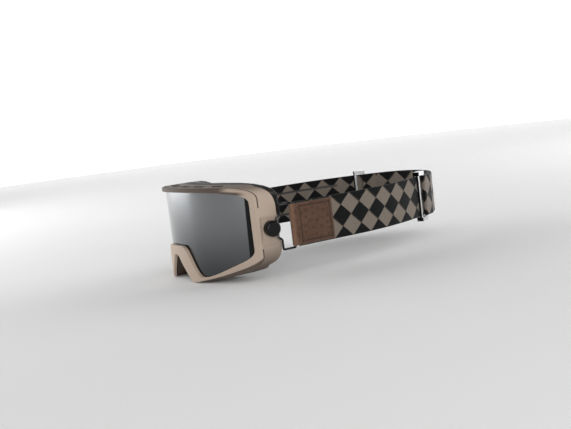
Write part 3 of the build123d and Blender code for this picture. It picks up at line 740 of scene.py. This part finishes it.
def straps():
    cloth = harlequin("harlequin_elastic", dark=rgb(12, 13, 14), light=rgb(124, 115, 106),
                      dark_thread=rgb(26, 27, 28), light_thread=rgb(150, 139, 127))
    for name, side in SIDES:
        phase = 1.3 if side > 0 else 2.9

        def relief(u, v, face):
            """The dark diamonds stand proud on both faces, and the edges waver."""
            if face == 0:
                return 0.05 * math.sin(u * 1.9 + phase)
            along = (u - DIAMOND_START) / DIAMOND_LONG
            across = v / DIAMOND_TALL
            both_ways = math.cos(math.pi * (along + across)) * math.cos(math.pi * (along - across))
            return 0.09 * max(-1.0, min(1.0, both_ways * 9)) - 0.07

        path = strap_line(side)
        points, faces, uv = ribbon(path, STRAP_WIDTH, STRAP_THICKNESS, step=1.25, across=STRAP_COLUMNS,
                                   outwards=side, relief=relief)
        made = make(f"strap_{name}", points, faces, cloth, "strap", [f"strap_half_{name}"], uv)


def folds():
    cloth = bpy.data.materials["harlequin_elastic"]
    rear = SLIDER_ANGLE + math.degrees(SLIDER_REAR / SIDE_RADIUS)
    for name, side in SIDES:
        lift = side * TAB_LIFT
        middle = np.array(side_point(rear, lift, 1))
        points = [side_point(a, lift + FOLD_RADIUS, 1) for a in np.linspace(FOLD_END, rear, 14)]
        for k in np.linspace(0, math.pi, 13)[1:-1]:
            turn = math.radians(rear) - k
            points.append(tuple(middle + FOLD_RADIUS * np.array((math.cos(turn), math.sin(turn)))))
        points += [side_point(a, lift - FOLD_RADIUS, 1) for a in np.linspace(rear, FOLD_END, 14)]
        if side < 0:
            points = [(-x, y) for x, y in points]

        def relief(u, v, face):
            """A slight ripple, the same on both faces."""
            return 0.12 * math.sin(v * 0.55) * math.sin(u * 0.4)

        body = f"adjuster_{name}"
        made_points, faces, uv = ribbon(points, STRAP_WIDTH, FOLD_THICKNESS, step=0.6, across=STRAP_COLUMNS,
                                        outwards=-side, relief=relief, start=210)
        made = make(f"fold_{name}", made_points, faces, cloth, body, [f"strap_fold_{name}"], uv)


def grips():
    rubber = silicone()
    for name, side in SIDES:
        off = -STRAP_THICKNESS / 2 - 0.25
        path = [(side * (BAIL_X + off), y) for y in (GRIP_START_Y, STRAIGHT_END_Y)]
        path += [side_point(a, off, side) for a in np.linspace(0, GRIP_END, 30)[1:]]
        all_points, all_faces = [], []
        for z in (-GRIP_SPACING, 0.0, GRIP_SPACING):
            points, faces, _ = ribbon(path, GRIP_WIDTH, GRIP_THICKNESS, step=1.5, across=5,
                                      outwards=side, z=z)
            start = len(all_points)
            all_points += points
            all_faces += [[k + start for k in face] for face in faces]
        make(f"grip_beads_{name}", all_points, all_faces, rubber, "strap",
             [f"grip_lines_{name}"])


def quill_marks(seed):
    """Places of the leather's raised marks, scattered, with no two closer than MARK_GAP."""
    spread = np.random.default_rng(seed)
    marks = []
    for _ in range(4000):
        along, across = spread.uniform(5, 46), spread.uniform(-16, 16)
        if all(math.hypot(along - a, across - b) > MARK_GAP for a, b, _ in marks):
            marks.append((along, across, spread.uniform(0.9, 1.3)))
    return np.array(marks)


def patches():
    hide = suede()
    cord = thread()
    for name, side in SIDES:
        mid = PATCH_BORE + LEATHER / 2
        pocket = STRAP_THICKNESS / 2 + 0.05 + LEATHER / 2
        line = [(pocket, PATCH_END_Y), (pocket, STRAP_START_Y + 3), (mid, BAIL_BAR_Y + 1.5)]
        line += [(mid * math.cos(t), BAIL_BAR_Y - mid * math.sin(t)) for t in np.linspace(0, math.pi, 15)]
        line += [(-mid, BAIL_BAR_Y + 1.5), (-pocket, STRAP_START_Y + 3), (-pocket, PATCH_END_Y)]
        line = [(side * (BAIL_X + x), y) for x, y in line]
        length = length_of(line)
        marks = quill_marks(7 if side > 0 else 8)
        run = PATCH_END_Y - BAIL_BAR_Y

        def to_end(u):
            """How far a place along the folded leather is from the patch's end."""
            return min(u, length - u)

        def seam_gap(u, v):
            """How far a place is from the seam; far from it outside the seam's rectangle."""
            inset = to_end(u)
            to_edge = PATCH_HEIGHT / 2 - abs(v)
            if not (SEAM_FROM_END - 1 < inset < run - SEAM_FROM_BAR + 1 and to_edge > SEAM_FROM_EDGE - 1):
                return 9.0
            return min(abs(inset - SEAM_FROM_END), abs(to_edge - SEAM_FROM_EDGE),
                       abs(inset - (run - SEAM_FROM_BAR)))

        def mark_at(u, v):
            inset = to_end(u)
            shift = 0 if u < length / 2 else MARK_SHIFT
            gaps = np.hypot(marks[:, 0] - inset - shift, marks[:, 1] - v) / marks[:, 2]
            return max(0.0, 1 - float(gaps.min()) / MARK_RADIUS)

        def relief(u, v, face):
            """Raised marks, slow waves and the seam's groove, on the outer face only."""
            lift = 0.26 * mark_at(u, v) ** 1.5
            lift += 0.06 * math.sin(u * 0.31 + v * 0.23) * math.sin(v * 0.41)
            lift -= 0.34 * math.exp(-(seam_gap(u, v) / 0.8) ** 2)
            return lift - 0.1 if face > 0 else 0.0

        points, faces, uv = ribbon(line, PATCH_HEIGHT, LEATHER, step=0.75, across=60, outwards=side,
                                   relief=relief)
        values = [mark_at(u, v) - math.exp(-(seam_gap(u, v) / 0.7) ** 2) for u, v in uv]
        made = make(f"leather_{name}", points, faces, hide, "strap", [f"patch_{name}"],
                    uv, values)
        stitches(name, side, cord, pocket)


def capsule(start, end, radius, out):
    """Points and faces of a thread from start to end that dips into the leather at both ends."""
    start, end, out = (np.array(p, float) for p in (start, end, out))
    along = end - start
    across = np.cross(along, out)
    across /= np.linalg.norm(across)
    points, faces = [], []
    rings, sides = 7, 6
    for i in range(rings):
        t = i / (rings - 1)
        centre = start + along * t + out * (math.sin(math.pi * t) * 0.28 - 0.12)
        width = radius * (0.45 + 0.55 * math.sin(math.pi * t) ** 0.5)
        for k in range(sides):
            angle = 2 * math.pi * k / sides
            points.append(centre + (across * math.cos(angle) + out * math.sin(angle)) * width)
    for i in range(rings - 1):
        for k in range(sides):
            a, b = i * sides + k, i * sides + (k + 1) % sides
            faces.append((a, b, b + sides, a + sides))
    faces.append(list(range(sides))[::-1])
    faces.append([(rings - 1) * sides + k for k in range(sides)])
    return points, faces


def stitches(name, side, cord, pocket):
    """The seam's threads, in a rectangle on both layers of the leather."""
    low, high = BAIL_BAR_Y + SEAM_FROM_BAR, PATCH_END_Y - SEAM_FROM_END
    edge = PATCH_HEIGHT / 2 - SEAM_FROM_EDGE
    corners = [(low, -edge), (high, -edge), (high, edge), (low, edge), (low, -edge)]
    points, faces = [], []
    for face in (1, -1):
        x = side * (BAIL_X + face * (pocket + LEATHER / 2 - 0.12))
        for (y0, z0), (y1, z1) in zip(corners, corners[1:]):
            reach = math.hypot(y1 - y0, z1 - z0)
            count = round(reach / STITCH_PITCH)
            for i in range(count):
                a, b = (i + 0.12) / count, (i + 0.88) / count
                ends = [(x, y0 + (y1 - y0) * t, z0 + (z1 - z0) * t) for t in (a, b)]
                more, sides = capsule(*ends, STITCH_RADIUS, (side * face, 0, 0))
                faces += [[k + len(points) for k in ring] for ring in sides]
                points += more
    make(f"stitches_{name}", points, faces, cord, "strap")


def foams():
    black = open_foam("face_foam", rgb(14, 14, 14), rgb(46, 45, 44), 900)
    grey = open_foam("soft_foam", rgb(20, 20, 20), rgb(62, 60, 58), 1100)
    coarse = open_foam("vent_foam", rgb(10, 10, 10), rgb(42, 41, 40), 620)
    root = "goggle_frame"
    base = foam_piece("foam_base_pad", "foam_base", root, black,
                      voxel=0.7, smooth=9, rough=0.12, seed=1.0)
    middle = foam_piece("foam_middle_pad", "foam_middle", root, grey,
                        voxel=0.75, smooth=12, rough=0.12, seed=2.0, cap=0.9)
    nap = foam_piece("fleece_pad", "foam_fleece", root, fleece_fabric(),
                     voxel=0.6, smooth=8, rough=0.1, seed=3.0, cap=0.7)
    for node in ("vent_foam_top", "vent_foam_bottom"):
        vent = foam_piece(node + "_pad", node, root, coarse,
                          voxel=0.9, smooth=2, rough=0.15, seed=4.0)


def hard_parts():
    dress("frame_shell", sand_plastic())
    dress("face_frame", brown_rubber())
    dress("lens", mirror_lens())
    knob, steel, wire, slider = gloss_black(), bare_steel(), black_wire(), slider_metal()
    for name, _ in SIDES:
        dress(f"knob_{name}", knob, 0.25)
        dress(f"knob_washer_{name}", steel, 0.15)
        dress(f"knob_screw_{name}", steel, 0.1)
        dress(f"bail_{name}", wire)
        dress(f"slider_{name}", slider, 0.45)


hard_parts()
straps()
folds()
grips()
patches()
foams()
studio()
camera()
